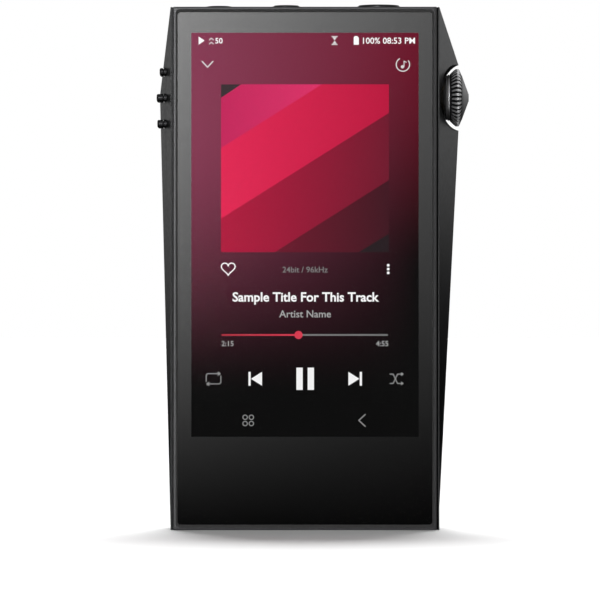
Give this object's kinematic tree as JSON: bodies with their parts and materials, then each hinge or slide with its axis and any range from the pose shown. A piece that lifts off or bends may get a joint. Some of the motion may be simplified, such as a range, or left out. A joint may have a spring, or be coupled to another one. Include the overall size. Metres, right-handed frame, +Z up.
{
  "type": "digital audio player",
  "caption": "Slim faceted pocket music player with a large touch screen, a knurled side volume wheel, side and top push buttons, top headphone sockets and bottom ports.",
  "frame": {"origin": "middle of the flat bottom face, which the player stands on", "axes": "+Z up along the player's height, -Y out of the screen, +X towards the volume wheel side"},
  "size_m": [0.0705, 0.0184, 0.1183],
  "materials": {
    "housing_metal": "dark anodised, fine bead blast",
    "rim_metal": "dark anodised, fine bead blast, polished bevel",
    "cover_glass": "polished flat glass",
    "back_glass": "polished black glass",
    "gasket": "matte black foam",
    "screen": "laminated display film",
    "film": "laminated film",
    "light_guide": "white reflector",
    "steel": "stamped sheet",
    "wheel_metal": "black anodised, fine turned",
    "accent_metal": "polished",
    "button_metal": "black anodised, satin",
    "collar_metal": "black anodised, satin, polished chamfer",
    "shaft_steel": "ground",
    "bushing_brass": "turned",
    "black_plastic": "moulded",
    "circuit_board": "solder mask over laminate",
    "flex_film": "polyimide film",
    "battery_cell": "wrapped pouch cell",
    "chip_resin": "moulded resin",
    "capacitor_sleeve": "sleeved can",
    "plated_metal": "plated"
  },
  "bodies": {
    "player_body": {"main_housing": "housing_metal", "back_cover": "back_glass", "back_adhesive": "gasket", "front_frame": "rim_metal", "cover_glass": "cover_glass", "glass_gasket": "gasket", "touch_sensor": "film", "display_panel": "screen", "backlight_unit": "light_guide", "display_flex": "flex_film", "display_bracket": "steel", "bracket_screw_1": "steel", "bracket_screw_2": "steel", "bracket_screw_3": "steel", "bracket_screw_4": "steel", "battery": "battery_cell", "battery_lead": "flex_film", "main_board": "circuit_board", "audio_board": "circuit_board", "board_link_flex": "flex_film", "processor_shield": "steel", "processor_chip": "chip_resin", "memory_chip": "chip_resin", "audio_shield": "steel", "dac_chip_left": "chip_resin", "dac_chip_right": "chip_resin", "clock_oscillator_1": "steel", "clock_oscillator_2": "steel", "audio_capacitor_1": "capacitor_sleeve", "audio_capacitor_2": "capacitor_sleeve", "audio_capacitor_3": "capacitor_sleeve", "audio_capacitor_4": "capacitor_sleeve", "wireless_antenna": "plated_metal", "usb_c_socket": "steel", "usb_c_tongue": "black_plastic", "card_socket": "steel", "headphone_socket": "black_plastic", "headphone_collar": "collar_metal", "balanced_socket": "black_plastic", "balanced_collar": "collar_metal", "power_switch": "steel", "power_switch_board": "circuit_board", "previous_switch": "steel", "play_switch": "steel", "next_switch": "steel", "side_key_board": "circuit_board", "wheel_bushing": "bushing_brass", "volume_encoder": "black_plastic"},
    "volume_wheel": {"wheel_shaft": "shaft_steel", "wheel_hub": "wheel_metal", "wheel_accent_ring": "accent_metal", "wheel_rim": "wheel_metal", "wheel_cap": "wheel_metal"},
    "previous_key": {"previous_button": "button_metal"},
    "play_key": {"play_button": "button_metal"},
    "next_key": {"next_button": "button_metal"},
    "power_key": {"power_button": "button_metal"}
  },
  "joints": [
    {"name": "volume_wheel_turn", "type": "hinge", "parent": "player_body", "child": "volume_wheel", "pos_m": [0.0302, 0, 0.0974], "axis": [1, 0, 0], "continuous": true},
    {"name": "previous_button_press", "type": "slide", "parent": "player_body", "child": "previous_key", "axis": [1, 0, 0], "range_m": [0, 0.00035], "stiffness_N_per_m": 500, "springref_m": -0.0012},
    {"name": "play_button_press", "type": "slide", "parent": "player_body", "child": "play_key", "axis": [1, 0, 0], "range_m": [0, 0.00035], "stiffness_N_per_m": 500, "springref_m": -0.0012},
    {"name": "next_button_press", "type": "slide", "parent": "player_body", "child": "next_key", "axis": [1, 0, 0], "range_m": [0, 0.00035], "stiffness_N_per_m": 500, "springref_m": -0.0012},
    {"name": "power_button_press", "type": "slide", "parent": "player_body", "child": "power_key", "axis": [0, 0, -1], "range_m": [0, 0.0003], "stiffness_N_per_m": 500, "springref_m": -0.0012}
  ]
}
